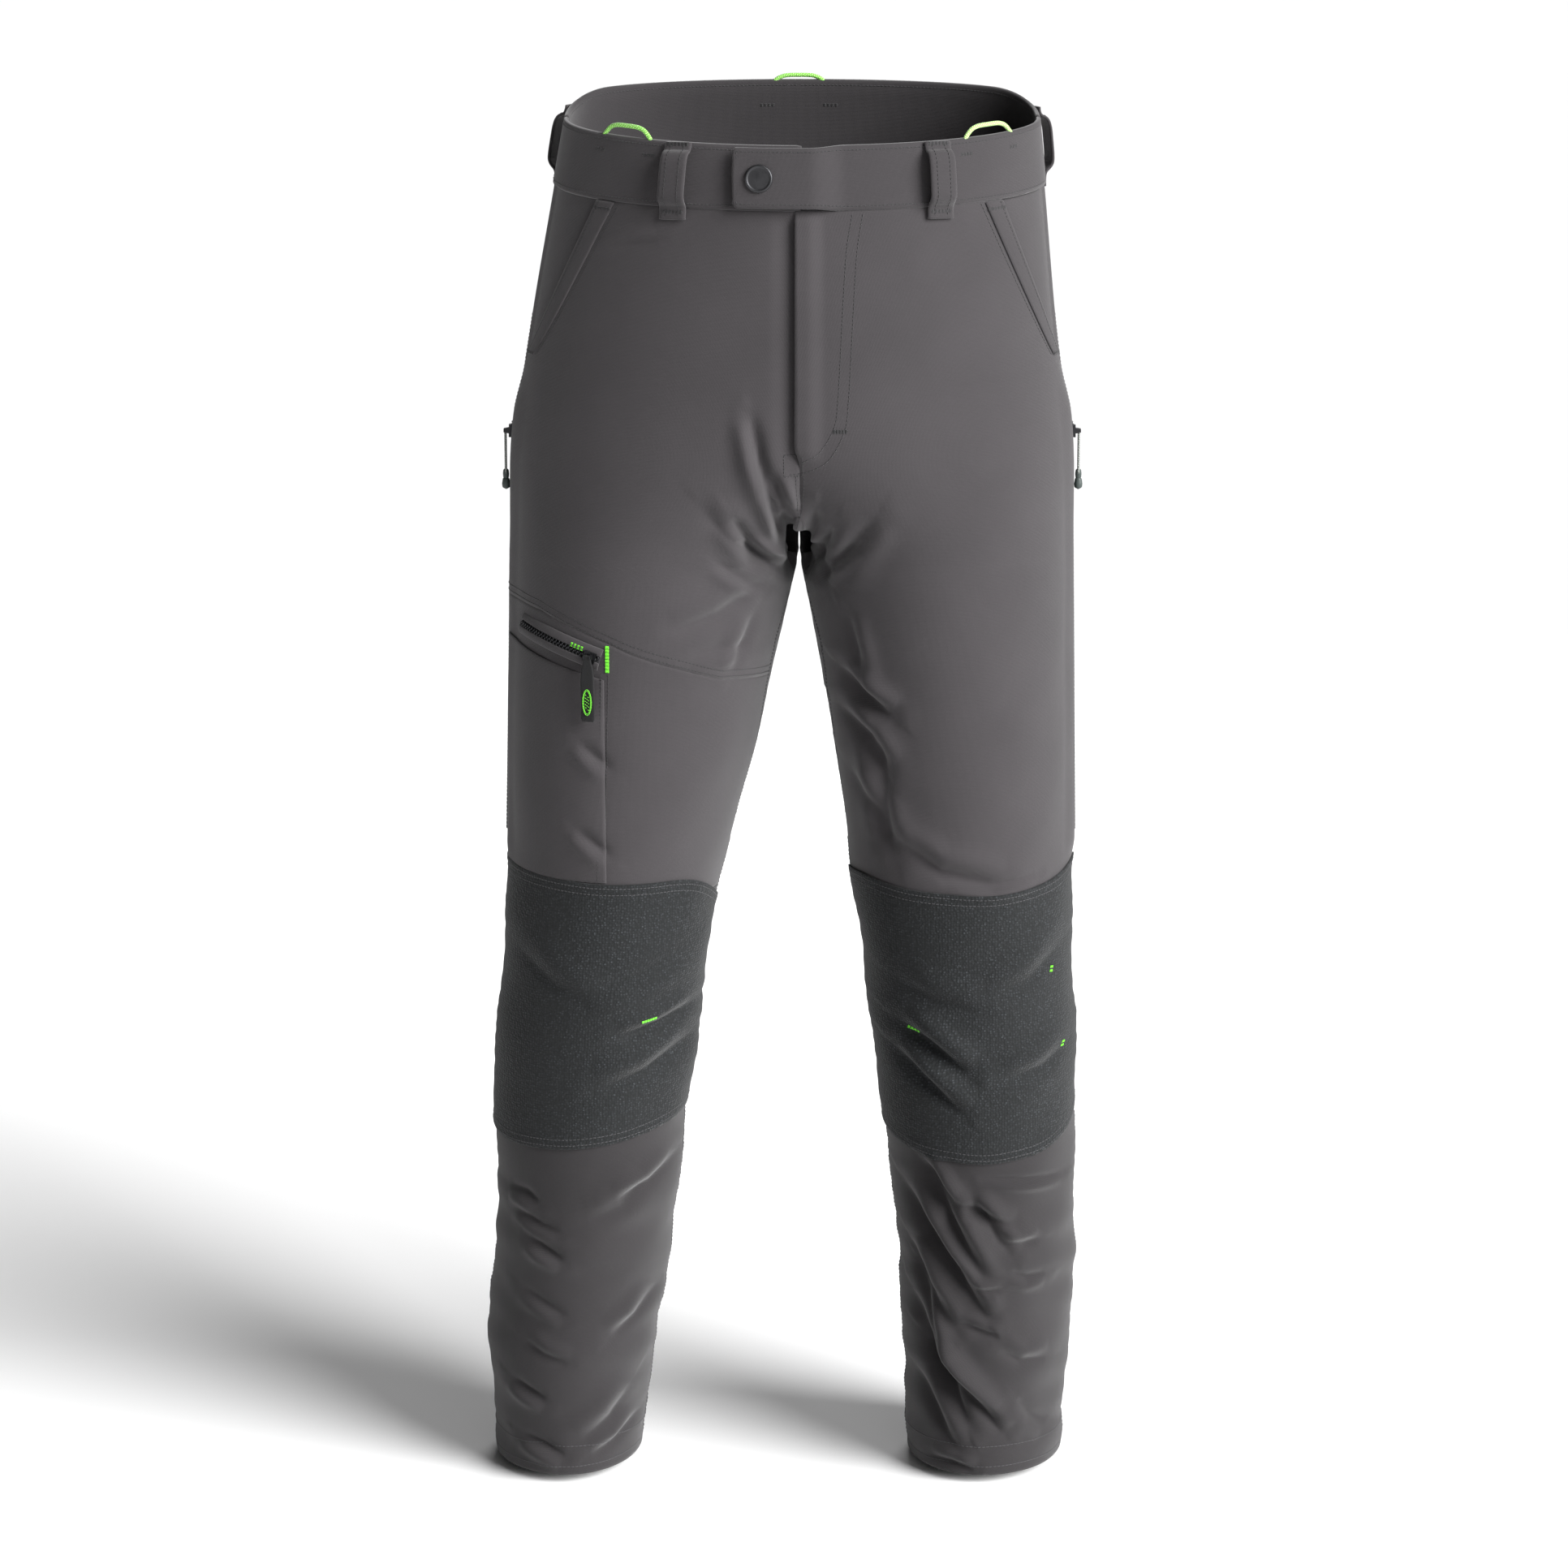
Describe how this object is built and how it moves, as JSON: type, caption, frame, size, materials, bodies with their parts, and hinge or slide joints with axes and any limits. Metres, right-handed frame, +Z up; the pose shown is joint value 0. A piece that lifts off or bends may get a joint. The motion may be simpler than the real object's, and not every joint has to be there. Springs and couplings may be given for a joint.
{
  "type": "chainsaw protection trousers",
  "caption": "Full-length chainsaw work trousers standing open as worn, with knee patches, slant pockets, a zipped thigh pocket, side zips, belt and elastic loops and a press-stud closure tab.",
  "frame": {"origin": "middle of the waist opening, at the height of the rim at the side seams", "axes": "+Z up, +X to the wearer's left, the front faces -Y"},
  "size_m": [0.4767, 0.2638, 1.1066],
  "materials": {
    "shell_fabric": "matt warm grey woven shell fabric",
    "stretch_fabric": "matt dark grey stretch fabric",
    "patch_fabric": "coarse dark blue-grey reinforcement fabric",
    "pad_felt": "undyed layered cut-resistant felt",
    "lining_mesh": "black knitted mesh",
    "zip_tape": "black zip tape and coil",
    "zip_metal": "gunmetal zip slider",
    "snap_metal": "dark satin press stud",
    "elastic_cord": "lime elastic cord",
    "pull_cord": "grey-green moulded zip puller",
    "pull_ribbon": "black ribbon puller"
  },
  "bodies": {
    "trousers": {"back_panel_L": "shell_fabric", "back_panel_R": "shell_fabric", "back_pocket_welt_L": "stretch_fabric", "back_pocket_welt_R": "stretch_fabric", "belt_loop_back_L": "shell_fabric", "belt_loop_back_R": "shell_fabric", "belt_loop_back_centre": "shell_fabric", "belt_loop_front_L": "shell_fabric", "belt_loop_front_R": "shell_fabric", "belt_loop_side_L": "shell_fabric", "belt_loop_side_R": "shell_fabric", "calf_panel_L": "shell_fabric", "calf_panel_R": "shell_fabric", "crotch_gusset_L": "stretch_fabric", "crotch_gusset_R": "stretch_fabric", "elastic_loop_back": "elastic_cord", "elastic_loop_front_L": "elastic_cord", "elastic_loop_front_R": "elastic_cord", "fly_facing": "shell_fabric", "fly_shield": "shell_fabric", "fly_zip": "zip_tape", "front_panel_L": "shell_fabric", "front_panel_R": "shell_fabric", "hand_pocket_bag_L": "lining_mesh", "hand_pocket_bag_R": "lining_mesh", "hand_pocket_facing_L": "shell_fabric", "hand_pocket_facing_R": "shell_fabric", "hand_pocket_welt_L": "shell_fabric", "hand_pocket_welt_R": "shell_fabric", "hem_band_L": "stretch_fabric", "hem_band_R": "stretch_fabric", "knee_patch_L": "patch_fabric", "knee_patch_R": "patch_fabric", "leg_lining_L": "lining_mesh", "leg_lining_R": "lining_mesh", "protective_pad_L": "pad_felt", "protective_pad_R": "pad_felt", "shin_panel_L": "shell_fabric", "shin_panel_R": "shell_fabric", "side_zip_L": "zip_tape", "side_zip_R": "zip_tape", "snap_stud": "snap_metal", "thigh_pocket_R": "shell_fabric", "thigh_zip": "zip_tape", "waistband_back": "shell_fabric", "waistband_front_L": "shell_fabric", "waistband_front_R": "shell_fabric"},
    "tab": {"closure_tab": "shell_fabric", "snap_cap": "snap_metal"},
    "fly_slider": {"fly_zip_slider": "zip_metal"},
    "thigh_slider": {"thigh_zip_slider": "zip_metal"},
    "thigh_pull": {"thigh_zip_pull": "pull_ribbon"},
    "side_slider_R": {"side_zip_slider_R": "zip_metal"},
    "side_pull_R": {"side_zip_pull_R": "pull_cord"},
    "side_slider_L": {"side_zip_slider_L": "zip_metal"},
    "side_pull_L": {"side_zip_pull_L": "pull_cord"}
  },
  "joints": [
    {"name": "tab_swing", "type": "hinge", "parent": "trousers", "child": "tab", "pos_m": [0.00815, -0.1202, -0.03772], "axis": [0, 0, 1], "range_deg": [0, 140]},
    {"name": "fly_zip_slide", "type": "slide", "parent": "trousers", "child": "fly_slider", "axis": [0.0005, -0.0029, -1], "range_m": [0, 0.145]},
    {"name": "thigh_zip_slide", "type": "hinge", "parent": "trousers", "child": "thigh_slider", "pos_m": [-0.12376, -0.00109, -0.41323], "axis": [0.2997, -0.0084, 0.954], "range_deg": [-38, 0]},
    {"name": "thigh_pull_swing", "type": "hinge", "parent": "thigh_slider", "child": "thigh_pull", "pos_m": [-0.1625, -0.10768, -0.40199], "axis": [-0.9399, 0.3416, 0], "range_deg": [0, 120]},
    {"name": "side_zip_slide_R", "type": "slide", "parent": "trousers", "child": "side_slider_R", "axis": [-0.0248, -0.0214, -0.9995], "range_m": [0, 0.3]},
    {"name": "side_pull_swing_R", "type": "hinge", "parent": "side_slider_R", "child": "side_pull_R", "pos_m": [-0.22952, -0.00013, -0.24153], "axis": [0, 1, 0], "range_deg": [0, 110]},
    {"name": "side_zip_slide_L", "type": "slide", "parent": "trousers", "child": "side_slider_L", "axis": [0.0185, -0.0214, -0.9996], "range_m": [0, 0.3]},
    {"name": "side_pull_swing_L", "type": "hinge", "parent": "side_slider_L", "child": "side_pull_L", "pos_m": [0.21835, -0.00013, -0.24164], "axis": [0, -1, 0], "range_deg": [0, 110]}
  ]
}
